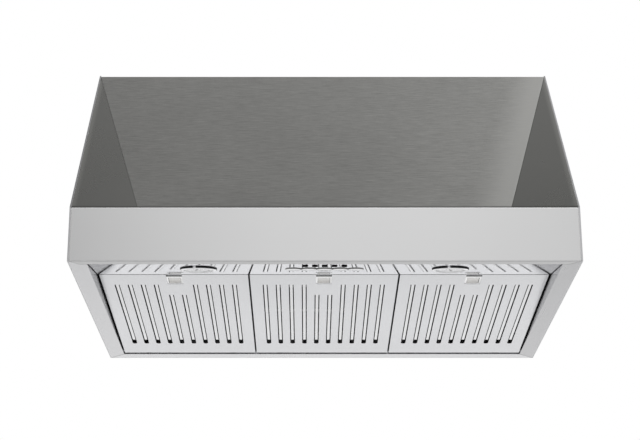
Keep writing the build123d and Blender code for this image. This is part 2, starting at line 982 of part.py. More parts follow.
def impeller():
    half = wheel_width / 2
    inner = wheel_radius - wheel_blade_depth
    blades = [blade(360 * i / blade_count) for i in range(blade_count)]
    wheel = extrude(Plane.YZ.offset(-half) * Sketch(children=blades), amount=wheel_width, dir=(1, 0, 0))
    for low, high in ((-half, wheel_ring - half), (half - wheel_ring, half)):
        wheel += bar_x(wheel_radius, (low, high), 0, 0) - bar_x(inner, (low, high), 0, 0)
    wheel += bar_x(wheel_radius, (-wheel_disc / 2, wheel_disc / 2), 0, 0)
    hub_span = (motor_gap - motor_end_gap(), hub_length - motor_end_gap())
    wheel += bar_x(hub_radius, hub_span, 0, 0)
    wheel -= bar_x(shaft_radius, hub_span, 0, 0)
    return Pos(0, y_wheel, z_wheel) * wheel


def motor_end_gap():
    """Distance from the wheel's disc back to the motor's face."""
    return blower_half + blower_sheet + motor_overhang - motor_length


def motor_face():
    return -motor_end_gap()


def motor_shaft():
    end = hub_length - motor_end_gap() + shaft_nose
    return bar_x(shaft_radius, (motor_face() - shaft_grip, end), y_wheel, z_wheel)


def motor():
    rear = motor_face() - motor_length
    boss_rear = rear - motor_boss_height
    body = bar_x(motor_radius, (rear, motor_face()), y_wheel, z_wheel)
    body += bar_x(motor_boss_radius, (boss_rear, rear), y_wheel, z_wheel)
    bore = (motor_face() - shaft_grip - running_clearance, motor_face())
    return body - bar_x(shaft_radius + running_clearance, bore, y_wheel, z_wheel)


def motor_spider():
    foot = -(blower_half + blower_sheet)
    band_rear = foot - motor_overhang + spider_arm_thickness
    spider = bar_x(motor_radius + spider_band, (band_rear, foot), 0, 0)
    reach = inlet_radius + spider_foot
    for i in range(spider_arm_count):
        arm = block(
            (foot - spider_arm_thickness, foot),
            (-spider_arm_width / 2, spider_arm_width / 2),
            (0, reach),
        )
        spider += Rot(360 * i / spider_arm_count, 0, 0) * arm
    spider -= bar_x(motor_radius, (band_rear, foot), 0, 0)
    return Pos(0, y_wheel, z_wheel) * spider


def all_parts():
    parts = {
        "left_side_panel": side_panel(),
        "right_side_panel": mirrored(side_panel()),
        "front_band": front_band(),
        "sloped_front_panel": sloped_front_panel(),
        "left_corner_gusset": corner_gusset(),
        "right_corner_gusset": mirrored(corner_gusset()),
        "top_panel": top_panel(),
        "back_panel": back_panel(),
        "wall_fixing_plates": wall_fixing_plates(),
        "left_rim_rail": rim_rail(),
        "right_rim_rail": mirrored(rim_rail()),
        "rear_rim_rail": rear_rim_rail(),
        "filter_hinge_rod": filter_hinge_rod(),
        "hinge_rod_brackets": hinge_rod_brackets(),
        "control_panel": control_panel(),
        "lamp_housings": lamp_housings(),
        "switch_block": switch_block(),
        "button_label_plate": label_plate(),
        "control_box": control_box(),
        "control_board": control_board(),
        "terminal_block": terminal_block(),
        "capacitor": capacitor(),
        "duct_collar": duct_collar(),
        "collar_flange": collar_flange(),
        "damper_pins": damper_pins(),
        "front_damper_flap": damper_flap(-1),
        "rear_damper_flap": damper_flap(1),
        "collar_bolts": bolts(),
        "collar_screws": collar_screws(),
        "cable_bushing": cable_bushing(),
        "blower_scroll": blower_scroll(),
        "left_blower_side": blower_side(-1),
        "right_blower_side": blower_side(1),
        "impeller": impeller(),
        "motor_shaft": motor_shaft(),
        "motor": motor(),
        "motor_spider": motor_spider(),
    }
    for name, x in zip(("left", "right"), light_places()):
        parts[f"{name}_light_bezel"] = light_bezel(x)
        parts[f"{name}_light_lens"] = light_lens(x)
    for i, x in enumerate(button_places()):
        parts[f"push_button_{i + 1}"] = push_button(x)
    for name, middle in zip(("left", "middle", "right"), filter_places()):
        parts[f"{name}_filter_face"] = filter_face(middle)
        parts[f"{name}_filter_baffles"] = filter_baffles(middle)
        parts[f"{name}_latch_guide"] = latch_guide(middle)
        parts[f"{name}_latch_slider"] = latch_slider(middle)
    return parts


os.makedirs("parts", exist_ok=True)
for node, solid in all_parts().items():
    export_step(solid, f"parts/{node}.step")
print("strip tilt", round(degrees(strip_tilt), 2), "filter tilt", round(degrees(filter_tilt), 2))
print("filter", round(filter_width, 2), "by", round(filter_length, 2), "slot pitch", round(slot_pitch, 2))
print("wheel axis at", round(y_wheel, 2), round(z_wheel, 2), "outlet depth", round(outlet_depth, 2))
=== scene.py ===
# %% [markdown]
# # A wall mount range hood, dressed for its portrait
# The hood is folded from stainless sheet: a sloped canopy over a deep band, and below it a rim
# with lights, push buttons and three drop-down baffle filters. The shapes and the joints are
# already made and packed as a frame. This lesson loads that frame, sets the camera, mixes a
# finish for every piece, and models the small pieces that deserve rounder edges than the frame has.

# %% Load the frame and keep its box
import json
import math

import bmesh
import bpy
from mathutils import Matrix, Vector


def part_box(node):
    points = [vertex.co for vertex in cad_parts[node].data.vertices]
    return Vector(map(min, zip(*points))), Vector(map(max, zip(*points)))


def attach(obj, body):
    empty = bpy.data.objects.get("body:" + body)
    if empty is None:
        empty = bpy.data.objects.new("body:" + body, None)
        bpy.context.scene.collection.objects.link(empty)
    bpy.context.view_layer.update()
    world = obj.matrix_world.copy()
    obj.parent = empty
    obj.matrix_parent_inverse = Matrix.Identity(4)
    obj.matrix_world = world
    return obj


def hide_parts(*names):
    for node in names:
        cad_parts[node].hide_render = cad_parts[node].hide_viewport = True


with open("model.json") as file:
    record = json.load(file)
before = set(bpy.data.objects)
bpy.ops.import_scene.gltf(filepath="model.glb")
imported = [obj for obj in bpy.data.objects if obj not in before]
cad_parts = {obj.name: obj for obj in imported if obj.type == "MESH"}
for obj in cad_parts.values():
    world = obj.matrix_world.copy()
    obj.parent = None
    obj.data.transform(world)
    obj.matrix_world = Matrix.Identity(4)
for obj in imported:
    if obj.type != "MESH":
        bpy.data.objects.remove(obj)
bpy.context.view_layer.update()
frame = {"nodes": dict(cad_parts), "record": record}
mm = 0.001


# %% [markdown]
# ## Camera
# The picture was taken from in front and well below the hood, looking up by about nineteen
# degrees with a long lens. Long lenses keep upright edges nearly parallel. The hood stands a
# little left of the picture's middle, and a small sideways shift of the lens does that without
# turning the camera. The numbers come from a fit of the hood's straight edges.

# %% Camera
image_width = 640
focal_pixels = 1644.2
shift_pixels = 13.1
camera_place = (-0.0321, -3.4588, -1.2079)
degrees_up = 19.19
lens_camera = bpy.data.cameras.new("portrait lens")
lens_camera.sensor_width = 36.0
lens_camera.lens = focal_pixels / image_width * lens_camera.sensor_width
lens_camera.shift_x = shift_pixels / image_width
lens_camera.clip_start = 0.05
lens_camera.clip_end = 60.0
camera = bpy.data.objects.new("portrait camera", lens_camera)
camera.location = camera_place
camera.rotation_euler = (math.radians(90 + degrees_up), 0, 0)
bpy.context.scene.collection.objects.link(camera)
bpy.context.scene.camera = camera
bpy.context.scene.view_settings.view_transform = "Standard"
print("lens:", round(lens_camera.lens, 1), "mm")

# %% [markdown]
# ## A small language for finishes
# A finish is a network of shader nodes, and wiring one by hand hides the idea behind the wires.
# Here a socket is wrapped in a class, so that `grain * 0.4 + cloud` adds the Math nodes by
# itself, and one method adds every other kind of node from its settings and its inputs.

# %% Sockets that can be added and multiplied
class Wire:
    """The output of a shader node, with the arithmetic that finishes use."""

    def __init__(self, board, socket):
        self.board = board
        self.socket = socket

    def math(self, operation, first, second=0.0):
        return self.board.add("ShaderNodeMath", {"operation": operation}, {0: first, 1: second})

    def __add__(self, other):
        return self.math("ADD", self, other)

    def __mul__(self, other):
        return self.math("MULTIPLY", self, other)

    def __sub__(self, other):
        return self.math("SUBTRACT", self, other)

    def __rsub__(self, other):
        return self.math("SUBTRACT", other, self)

    def __abs__(self):
        return self.math("ABSOLUTE", self)

    def or_more(self, other):
        return self.math("MAXIMUM", self, other)

    __radd__ = __add__
    __rmul__ = __mul__


class Board:
    """The node network of one material or of the world."""

    def __init__(self, owner):
        owner.use_nodes = True
        self.tree = owner.node_tree
        self.tree.nodes.clear()

    def add(self, kind, settings=None, inputs=None, output=0):
        node = self.tree.nodes.new(kind)
        for name, value in (settings or {}).items():
            setattr(node, name, value)
        for name, value in (inputs or {}).items():
            if isinstance(value, Wire):
                self.tree.links.new(value.socket, node.inputs[name])
            else:
                node.inputs[name].default_value = value
        return Wire(self, node.outputs[output]) if node.outputs else None


print("helpers: sockets with arithmetic, boards of nodes")

# %% [markdown]
# ## Masks
# Many finishes change from one zone of a piece to the next, and some zones are painted light and
# shade: the lip under the band is painted darker than the band, and the flanks of a rib carry
# painted shade beside its crown. A mask is 0 in one zone and 1 in the other. The object's own
# coordinates give the place of a point, and a Map Range node turns a place into a soft step. On
# the leaning filters the height is measured square to their face.

# %% Places and steps
rightward, backward, upward = (1, 0, 0), (0, 1, 0), (0, 0, 1)


def place_of(board):
    return board.add("ShaderNodeTexCoord", output="Object")


def alike(board, first, second):
    """Dot product of two vectors: 1 where two unit vectors agree."""
    vectors = {0: first, 1: second}
    return board.add("ShaderNodeVectorMath", {"operation": "DOT_PRODUCT"}, vectors, "Value")


def along(board, direction):
    """Distance of a point from the origin along a direction."""
    return alike(board, place_of(board), direction)


def step(board, wire, start, end, low=0.0, high=1.0):
    """Smooth change from low to high while a value goes from start to end."""
    limits = {"Value": wire, "From Min": start, "From Max": end, "To Min": low, "To Max": high}
    return board.add("ShaderNodeMapRange", {"interpolation_type": "SMOOTHSTEP"}, limits)


def shade(colour, factor):
    return tuple(min(1.0, c * factor) for c in colour) + (1.0,)


def between(board, low, high, amount):
    """Mix of two colours, each written out or from a wire. A Mix node keeps them at 6, 7 and 2."""
    return board.add("ShaderNodeMix", {"data_type": "RGBA"}, {0: amount, 6: low, 7: high}, 2)


def mottled(board, colour, tone, spread, level=1.0):
    """A colour that a pattern makes darker and paler by a share."""
    low, high = shade(colour, level * (1.0 - spread)), shade(colour, level * (1.0 + spread))
    return between(board, low, high, tone)


print("helpers: places, steps, colours")

# %% [markdown]
# ## Patterns shared by the sheet metal
# Rolled and brushed sheet shows three things at three scales: hair lines of the abrasive belt,
# faint clouds from handling and cleaning, and brighter edges where sheet was cut or folded, which
# are partly wear and partly a painted highlight. Stretching a noise along one axis gives the hair
# lines. A Bevel node finds the edges without touching the mesh: it gives the normal that a rounded
# edge would have. Compared with the surface's own normal it makes the mask of the worn edges and
# their painted highlight, and handed to the shader it makes them look round.

# %% Hair lines and clouds
def hair_lines(board, axis, runs, widths):
    """Two noises that are drawn out along one axis of the object."""
    place = place_of(board)
    wires = []
    for across, run in zip(widths, runs):
        scale = Vector((across, across, across))
        scale["XYZ".index(axis)] = run
        drawn = board.add("ShaderNodeMapping", {}, {"Vector": place, "Scale": scale})
        noise = {"Vector": drawn, "Scale": 1.0, "Detail": 2.0, "Roughness": 0.55}
        wires.append(board.add("ShaderNodeTexNoise", {}, noise))
    broad, fine = wires
    return broad * 0.6 + fine * 0.4


def clouds(board, scale=5.0, detail=3.0):
    noise = {"Vector": place_of(board), "Scale": scale, "Detail": detail}
    return board.add("ShaderNodeTexNoise", {}, noise)


print("patterns: hair lines, clouds")

# %% Edges and relief
relief_depth = 0.2 * mm
wholly_worn_and_lit, just_worn_and_lit = 0.86, 0.995


def round_normal(board, radius):
    return board.add("ShaderNodeBevel", {"samples": 4}, {"Radius": radius})


def rub_and_highlight_edges(board, paint, colour, soft_normal, tone, share):
    """Wear and painted highlight along sharp edges, where the rounded normal leaves the surface's
    own.
    """
    own_normal = board.add("ShaderNodeNewGeometry", output="Normal")
    worn_and_lit = step(board, alike(board, soft_normal, own_normal), wholly_worn_and_lit, just_worn_and_lit, 1.0, 0.0)
    return between(board, paint, shade(colour, tone), worn_and_lit * share)


def relief(board, height, strength, soft_normal=None):
    """Fine bumps, on the surface's own normal or on a rounded one."""
    inputs = {"Height": height, "Strength": strength, "Distance": relief_depth}
    if soft_normal:
        inputs["Normal"] = soft_normal
    return board.add("ShaderNodeBump", {}, inputs)


def end_in_shader(board, surface):
    shader = board.add("ShaderNodeBsdfPrincipled", {}, surface)
    board.add("ShaderNodeOutputMaterial", {}, {"Surface": shader})


print("patterns: worn edges, relief")

# %% [markdown]
# ## Sheet steel in its finishes
# All the stainless pieces share one recipe and differ in how far the belt has gone: brushed
# front, satin band, bright filters, polished strip. Metal has no colour of its own beyond its
# reflection, so the recipe is Metallic at 1 with a pale base, a roughness that follows the hair
# lines, and a bump fine enough to stretch highlights across the grain. Zones, if any are given,
# are functions that make masks, each with the tone that the sheet takes there.

# %% The recipe for sheet steel
def sheet_steel(name, colour, rough, axis="X", grain=0.5, bump=0.1, cloud=0.35,
                edge=0.6 * mm, spread=0.1, runs=(6.0, 24.0), widths=(420.0, 1500.0), zones=()):
    material = bpy.data.materials.new(name)
    board = Board(material)
    lines = hair_lines(board, axis, runs, widths)
    haze = clouds(board)
    tone = lines * grain + haze * (1.0 - grain)
    paint = mottled(board, colour, tone, spread)
    # Several zones paint light and shade into the colour.
    for zone, level in zones:
        paint = between(board, paint, mottled(board, colour, tone, 0.1, level), zone(board))
    soft_normal = round_normal(board, edge)
    # Brighter edges: partly wear, partly a painted highlight.
    paint = rub_and_highlight_edges(board, paint, colour, soft_normal, tone=1.3, share=0.35)
    roughness = lines * (0.25 * rough) + haze * (cloud * rough) + rough * (0.875 - cloud / 2)
    bumps = relief(board, lines, bump, soft_normal)
    end_in_shader(board, {
        "Base Color": paint, "Roughness": roughness, "Metallic": 1.0, "Normal": bumps})
    return material


print("recipe: sheet steel")

# %% [markdown]
# ## Zones of the pressed pieces
# The crest of the band's upper fold carries a painted highlight, and just under the crest, on the
# bend's hollow side, a thin stripe is painted darker as shade. The lip that folds under the band
# is painted darker, as the shade it reflects from below, and beside the right gusset the slope
# carries a painted highlight. The walls beside the filters face each other across the rim and
# catch little light. Inside a filter everything but the front sheet and the crowns of the ribs is
# painted dark as the shade inside it, and towards its rear end the filter is a little darker.
# Where the slope and its gussets meet each other and the band's ledge, the joint holds a line of
# shade, as do the rim's mitres and the rails' ends at the lip. Along their outer folds the gussets
# are a little brighter.

# %% Where the zones lie
hood_depth = 686 * mm
front_lip = 18 * mm
strip_depth = 162 * mm
rim_height = -320 * mm
filter_rise = 26 * mm
filter_front_gap = 3 * mm
filter_rear = -46 * mm
rib_crown = 2.3 * mm
shade_rise = math.radians(19)

gusset_low, gusset_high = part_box("right_corner_gusset")
seam_top = Vector((gusset_high.x, gusset_high.z))
seam_foot = Vector((gusset_low.x, gusset_low.z))
band_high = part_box("front_band")[1]
band_top = band_high.z
lip_corner = Vector((band_high.x, -hood_depth))
rear_rail_low, rear_rail_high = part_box("rear_rim_rail")
side_rail_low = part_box("right_rim_rail")[0]
mitre_out = Vector((rear_rail_high.x, rear_rail_high.y))
mitre_in = Vector((side_rail_low.x, rear_rail_low.y))
filter_run = filter_rear + hood_depth - strip_depth - filter_front_gap
filter_tilt = math.atan2(filter_rise, filter_run)
filter_corner = Vector((0, filter_rear, rim_height))
filter_up = Vector((0, math.sin(filter_tilt), math.cos(filter_tilt)))
print("filter tilt:", round(math.degrees(filter_tilt), 2), "band top:", round(band_top, 4))

# %% Zones that end at a height or a depth
# Painted shade: the lip under the band is painted darker, as the shade it reflects from below.
def painted_shade_under_the_band(board):
    return step(board, along(board, upward), rim_height + 0.6 * mm, rim_height + 1.4 * mm, 1.0, 0.0)


# Painted highlight along the crest of the band's upper fold.
def painted_highlight_on_the_crest(board):
    return step(board, along(board, upward), band_top - 2.4 * mm, band_top - 1.6 * mm)


# Painted shade on the thin stripe where the upper fold turns back.
def painted_shade_at_the_turn(board):
    return step(board, along(board, upward), band_top - 0.9 * mm, band_top - 0.5 * mm)


def beside_the_filters(board):
    return step(board, along(board, upward), rim_height + 1.6 * mm, rim_height + 2.4 * mm)


def towards_the_rear(board):
    return step(board, along(board, backward), filter_rear - 230 * mm, filter_rear)


def off_the_filter(board):
    """Height over a filter's front sheet, square to it."""
    return along(board, filter_up) - filter_corner.dot(filter_up)


# Painted shade inside the filter: everything above its front sheet is painted dark.
def painted_shade_inside_the_filter(board):
    return step(board, off_the_filter(board), 1.05 * mm, 1.6 * mm)


# Painted shade on the flanks of the ribs beside their crowns.
def painted_shade_beside_the_crown(board):
    return step(board, off_the_filter(board), rib_crown - 0.5 * mm, rib_crown + 0.3 * mm)


def above_the_ledge(board):
    """Shade at the foot of the slope, up to a plane that rises backwards from the ledge's front."""
    ledge_shade = Vector((0, -math.sin(shade_rise), math.cos(shade_rise)))
    above = along(board, ledge_shade) - gusset_low.dot(ledge_shade)
    return step(board, above, 1.5 * mm, 3.5 * mm, 1.0, 0.0)


print("zones: heights and depths")

# %% Zones that follow a seam
def off_the_middle(board):
    return abs(along(board, rightward))


def off_the_line(sideways, onward, start, end):
    """Distance from a line drawn from start to end, less than 0 on its left."""
    drawn = (end - start).normalized()
    offset = start.x * drawn.y - start.y * drawn.x
    return sideways * drawn.y + onward * -drawn.x - offset


def outer_fold(board):
    return step(board, off_the_middle(board), seam_top.x - 10 * mm, seam_top.x - 2 * mm)


def beside_the_seam(board):
    """Line between the slope and a gusset, from the top's outer corner to the foot's inner one."""
    gap = off_the_line(off_the_middle(board), along(board, upward), seam_foot, seam_top)
    return step(board, abs(gap), 0.6 * mm, 2.6 * mm, 1.0, 0.0)


# Painted highlight on the slope beside the right gusset.
def painted_highlight_beside_the_right_gusset(board):
    """Up to 80 mm from the right seam, measured across it."""
    gap = off_the_line(along(board, rightward), along(board, upward), seam_foot, seam_top)
    return step(board, gap, -80 * mm, -10 * mm)


def at_the_mitre(board):
    """Line from the rim's rear outer corner to its inner one, where two rails meet."""
    gap = off_the_line(off_the_middle(board), along(board, backward), mitre_in, mitre_out)
    return step(board, abs(gap), 0.6 * mm, 2.0 * mm, 1.0, 0.0)


def at_the_lip(board):
    """Line along the band's lip, on the rails that end at its rear edge and its mitred corners."""
    depth = along(board, backward)
    inwards = lip_corner + Vector((-1, 1))
    beside = off_the_line(off_the_middle(board), depth, lip_corner, inwards)
    behind = depth - (front_lip - hood_depth)
    return step(board, beside.or_more(behind), 0.8 * mm, 2.2 * mm, 1.0, 0.0)


print("zones: seams, mitres, lip")

# %% The sheet finishes
steels = {
    "side_steel": sheet_steel(
        "satin steel of the sides", (0.56, 0.56, 0.57), rough=0.34, axis="Y"),
    "band_steel": sheet_steel(
        "satin steel of the band", (0.658, 0.658, 0.66), rough=0.24,
        grain=0.35, bump=0.05, edge=2 * mm,
        zones=[(painted_highlight_on_the_crest, 1.64), (painted_shade_at_the_turn, 0.72), (painted_shade_under_the_band, 0.79)]),
    "brushed_front": sheet_steel(
        "brushed steel of the slope", (0.517, 0.516, 0.498), rough=0.34,
        grain=0.95, bump=0.5, spread=0.8, runs=(40.0, 650.0), widths=(900.0, 850.0),
        zones=[(painted_highlight_beside_the_right_gusset, 1.3), (above_the_ledge, 0.64)]),
    "polished_steel": sheet_steel(
        "polished steel of the strip", (0.72, 0.724, 0.748), rough=0.05,
        grain=0.3, bump=0.004, cloud=0.1),
    "filter_steel": sheet_steel(
        "bright steel of the filters", (0.85, 0.855, 0.873), rough=0.24, axis="Y",
        grain=0.4, bump=0.05, zones=[(towards_the_rear, 0.92), (painted_shade_inside_the_filter, 0.1)]),
    "baffle_steel": sheet_steel(
        "annealed steel of the ribs", (0.98, 0.985, 1.0), rough=0.2, axis="Y",
        grain=0.2, bump=0.03, zones=[(painted_shade_beside_the_crown, 0.24)]),
    "latch_steel": sheet_steel(
        "bright steel of the latches", (0.97, 0.97, 0.965), rough=0.22, grain=0.4, bump=0.03),
    "label_steel": sheet_steel(
        "polished steel of the label plate", (0.76, 0.76, 0.77), rough=0.10,
        grain=0.3, bump=0.02),
    "hidden_steel": sheet_steel("mill finish steel", (0.46, 0.47, 0.48), rough=0.42, grain=0.4),
}
# The rails' edges are rounded wider, to 1.2 mm, so that they carry a wider painted highlight.
rail_blue, gusset_blue = 1.018, 0.955
# Each rail, and its wall beside the filters, is painted lighter or darker for the light it stands
# in.
for side, pale, wall in (("left", 0.625, 0.6), ("rear", 0.69, 0.78), ("right", 0.5, 0.93)):
    steels[f"{side}_rim_steel"] = sheet_steel(
        f"satin steel of the {side} rail", (pale, pale, pale * rail_blue), rough=0.26, axis="Y",
        grain=0.4, bump=0.05, edge=1.2 * mm,
        zones=[(beside_the_filters, wall), (at_the_mitre, 0.42), (at_the_lip, 0.45)])
# Each gusset is painted lighter or darker for the light it stands in.
for side, pale in (("left", 0.23), ("right", 0.275)):
    steels[f"{side}_gusset_steel"] = sheet_steel(
        f"satin steel of the {side} gusset", (pale, pale, pale * gusset_blue), rough=0.28,
        axis="Z", grain=0.2, bump=0.02, spread=0.04, widths=(40.0, 120.0),
        zones=[(outer_fold, 1.35), (beside_the_seam, 0.7), (above_the_ledge, 0.65)])
print("sheet finishes:", len(steels))

# %% [markdown]
# ## Zinc, plate and the rest
# The parts nobody sees from the kitchen are galvanised: zinc freezes into flat crystals, the
# spangle. A Voronoi cell pattern at a centimetre gives each crystal its own tone and gloss.
# Screws and rods carry bright zinc plate. Plastics and enamel get a fine orange peel.

# %% Galvanised sheet with its spangle
crystals_per_metre = 90.0


def galvanised(name, colour):
    material = bpy.data.materials.new(name)
    board = Board(material)
    cells = {"Vector": place_of(board), "Scale": crystals_per_metre}
    crystal = board.add("ShaderNodeTexVoronoi", {"feature": "F1"}, cells, "Color")
    tone = board.add("ShaderNodeSeparateColor", {}, {"Color": crystal})
    haze = clouds(board, 7.0)
    paint = between(board, shade(colour, 0.82), shade(colour, 1.15), tone * 0.55 + haze * 0.45)
    roughness = tone * 0.16 + haze * 0.12 + 0.28
    bumps = relief(board, tone, 0.15, round_normal(board, 0.5 * mm))
    end_in_shader(board, {
        "Base Color": paint, "Roughness": roughness, "Metallic": 1.0, "Normal": bumps})
    return material


print("recipe: galvanised sheet")

# %% Plated, moulded and enamelled small parts
def small_part(name, colour, rough, metallic=0.0, peel=900.0, bump=0.08, coat=0.0, shine=0.5):
    """A fine even texture, with scuffs that change its gloss."""
    material = bpy.data.materials.new(name)
    board = Board(material)
    peel_noise = clouds(board, peel, 2.0)
    scuffs = clouds(board, 35.0, 5.0)
    paint = mottled(board, colour, scuffs * 0.7 + peel_noise * 0.3, 0.15)
    soft_normal = round_normal(board, 0.3 * mm)
    # Brighter edges: partly wear, partly a painted highlight.
    end_in_shader(board, {
        "Base Color": rub_and_highlight_edges(board, paint, colour, soft_normal, tone=1.5, share=0.3),
        "Roughness": scuffs * 0.18 + rough - 0.09, "Metallic": metallic,
        "Specular IOR Level": shine, "Coat Weight": coat,
        "Normal": relief(board, peel_noise, bump, soft_normal)})
    return material


others = {
    "zinc_steel": galvanised("galvanised sheet", (0.50, 0.52, 0.54)),
    "wheel_metal": galvanised("galvanised wheel", (0.42, 0.44, 0.46)),
    "plated_steel": small_part(
        "bright zinc plate", (0.62, 0.63, 0.65), 0.26, metallic=1.0, peel=700.0),
    "bezel_chrome": small_part(
        "polished ring of the lights", (0.80, 0.80, 0.81), 0.10, metallic=1.0, peel=500.0,
        bump=0.02),
    "lamp_metal": small_part("satin aluminium", (0.60, 0.60, 0.61), 0.34, metallic=1.0),
    "button_black": small_part(
        "black button plastic", (0.005, 0.005, 0.0055), 0.7, peel=1200.0, bump=0.1, shine=0.0),
    "black_plastic": small_part("matt black plastic", (0.012, 0.012, 0.0125), 0.55),
    "pale_plastic": small_part("ivory plastic", (0.60, 0.58, 0.50), 0.5),
    "board_green": small_part("green board", (0.02, 0.16, 0.06), 0.4),
    "motor_paint": small_part(
        "dark motor enamel", (0.05, 0.05, 0.055), 0.38, peel=600.0, bump=0.15, coat=0.2),
    # The seal's black is a painted dark reflection.
    "black_as_dark_reflection": small_part(
        "seal painted black as a dark reflection", (0.008, 0.008, 0.0085), 0.6, peel=1500.0, bump=0.15, shine=0.2),
    "dark_rim": small_part(
        "dark rim of the label plate", (0.26, 0.26, 0.255), 0.4, metallic=1.0, peel=1500.0,
        bump=0.1),
    "pocket_steel": small_part(
        "blasted steel of the finger pocket", (0.82, 0.81, 0.79), 0.36, metallic=1.0,
        peel=1400.0, bump=0.2),
    "shade_black_steel": small_part(
        "spring steel painted black as shade", (0.01, 0.01, 0.01), 0.7, bump=0.1, shine=0.0),
}
print("other finishes:", len(others))

# %% [markdown]
# ## Frosted glass for the lights
# Each light is closed by a frosted disc. Real frosted glass scatters what passes through it, so
# it is a transmission shader with a rough surface, mottled slightly by the etching. Its outer
# face is polished, and a clear coat gives it the mirror that shows the filters' slots.

# %% Frosted glass
def frosted_glass(name):
    material = bpy.data.materials.new(name)
    board = Board(material)
    etch = clouds(board, 1500.0, 2.0)
    paint = between(board, (0.86, 0.87, 0.88, 1.0), (0.95, 0.96, 0.97, 1.0), etch)
    end_in_shader(board, {
        "Base Color": paint, "Roughness": etch * 0.2 + 0.25, "IOR": 1.45,
        "Transmission Weight": 0.35, "Coat Weight": 1.0, "Normal": relief(board, etch, 0.1)})
    return material


others["lens_glass"] = frosted_glass("frosted glass")
finishes = {**steels, **others}
print("finishes in all:", len(finishes))

# %% [markdown]
# ## From finishes to pieces
# The frame says which kind of finish each piece takes. Rails and gussets are of one kind each,
# but they stand in different light, so each gets its own copy, painted lighter or darker for that
# light. The latches' guides lie behind their windows and are painted black, as the shade they stand
# in.

# %% Every piece of the frame gets the finish of its slot
finish_of = {entry["node"]: entry["material_slot"] for entry in frame["record"]["subparts"]}
# Rails and gussets take the copies painted for their own light.
for side in ("left", "rear", "right"):
    finish_of[f"{side}_rim_rail"] = f"{side}_rim_steel"
for side in ("left", "right"):
    finish_of[f"{side}_corner_gusset"] = f"{side}_gusset_steel"
# The latch guides are painted black, as the shade behind their windows.
for side in ("left", "middle", "right"):
    finish_of[f"{side}_latch_guide"] = "shade_black_steel"
for node, solid in frame["nodes"].items():
    if not solid.material_slots:
        solid.data.materials.append(None)
    for seat in solid.material_slots:
        seat.material = finishes[finish_of[node]]
print("finished nodes:", len(frame["nodes"]))

# %% [markdown]
# ## Tools for making pieces
# The frame's solids are exact but sharp, because they were drawn for their sizes. Near the eye a
# small part looks real when its edges catch a thin light, so the small parts are modelled again.
# Three ways of working cover nearly all of them: a block with rounded edges, an outline that is
# pushed along a direction, and an outline that is spun round an axis. Each shape is closed, its
# doubled points are merged, and only then are its faces turned outwards.

# %% Blocks, pushed outlines and turned outlines
def brick(low, high):
    """Box between two corners."""
    mesh = bmesh.new()
    verts = bmesh.ops.create_cube(mesh, size=1.0)["verts"]
    bmesh.ops.scale(mesh, verts=verts, vec=Vector(high) - Vector(low))
    bmesh.ops.translate(mesh, verts=verts, vec=(Vector(high) + Vector(low)) / 2)
    return mesh


def pushed(outline, start, end):
    """An outline of (depth, height) points, pushed along X from start to end."""
    mesh = bmesh.new()
    face = mesh.faces.new([mesh.verts.new((start, y, z)) for y, z in outline])
    made = bmesh.ops.extrude_face_region(mesh, geom=[face])["geom"]
    moved = [item for item in made if isinstance(item, bmesh.types.BMVert)]
    bmesh.ops.translate(mesh, verts=moved, vec=(end - start, 0, 0))
    return mesh


def turned(outline, steps=48, ring=False):
    """An outline of (radius, height) points, spun round Z. A ring's outline is closed."""
    mesh = bmesh.new()
    verts = [mesh.verts.new((radius, 0, height)) for radius, height in outline]
    ends = verts[1:] + verts[:1] if ring else verts[1:]
    edges = [mesh.edges.new(pair) for pair in zip(verts, ends)]
    bmesh.ops.spin(
        mesh, geom=verts + edges, cent=(0, 0, 0), axis=(0, 0, 1),
        angle=math.tau, steps=steps, use_merge=True)
    return mesh


def prism(sides, radius, low, high):
    mesh = bmesh.new()
    bmesh.ops.create_cone(
        mesh, cap_ends=True, segments=sides, radius1=radius, radius2=radius, depth=high - low)
    bmesh.ops.translate(mesh, verts=mesh.verts, vec=(0, 0, (high + low) / 2))
    return mesh


print("tools: brick, pushed, turned, prism")

# %% Rounded edges
weld = 0.001 * mm


def bevel(mesh, edges, width, segments, finish=-1):
    bmesh.ops.bevel(
        mesh, geom=edges, offset=width, offset_type="OFFSET", segments=segments,
        profile=0.5, affect="EDGES", material=finish, clamp_overlap=True)


def rounded(mesh, width, segments=3, sharper=30.0):
    """Round every edge that is sharper than an angle in degrees."""
    bmesh.ops.remove_doubles(mesh, verts=mesh.verts, dist=weld)
    limit = math.radians(sharper)
    edges = [e for e in mesh.edges if len(e.link_faces) == 2 and e.calc_face_angle() > limit]
    bevel(mesh, edges, width, segments)
    return mesh


print("tools: bevel, rounded")

# %% Gathering shapes into a piece
crease = math.radians(38)


def gather(whole, part, place=None, finish=0):
    """Merge, turn outwards and move a shape, and add it to the mesh of its piece."""
    bmesh.ops.remove_doubles(part, verts=part.verts, dist=weld)
    bmesh.ops.recalc_face_normals(part, faces=part.faces)
    if finish is not None:
        for face in part.faces:
            face.material_index = finish
    if place:
        bmesh.ops.transform(part, matrix=place, verts=part.verts)
    spare = bpy.data.meshes.new("spare")
    part.to_mesh(spare)
    part.free()
    whole.from_mesh(spare)
    bpy.data.meshes.remove(spare)


def piece(name, whole, body, slot, nodes, *coats):
    """Make the object, with its finishes, its body and the nodes that it stands for."""
    for face in whole.faces:
        face.smooth = True
    for edge in whole.edges:
        edge.smooth = len(edge.link_faces) != 2 or edge.calc_face_angle() < crease
    data = bpy.data.meshes.new(name)
    whole.to_mesh(data)
    count = len(whole.faces)
    whole.free()
    thing = bpy.data.objects.new(name, data)
    bpy.context.scene.collection.objects.link(thing)
    for coat in coats or (slot,):
        data.materials.append(finishes[coat])
    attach(thing, body)
    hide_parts(*nodes)
    print(f"{name}: {count} faces on {body}")


print("tools: gather, piece")

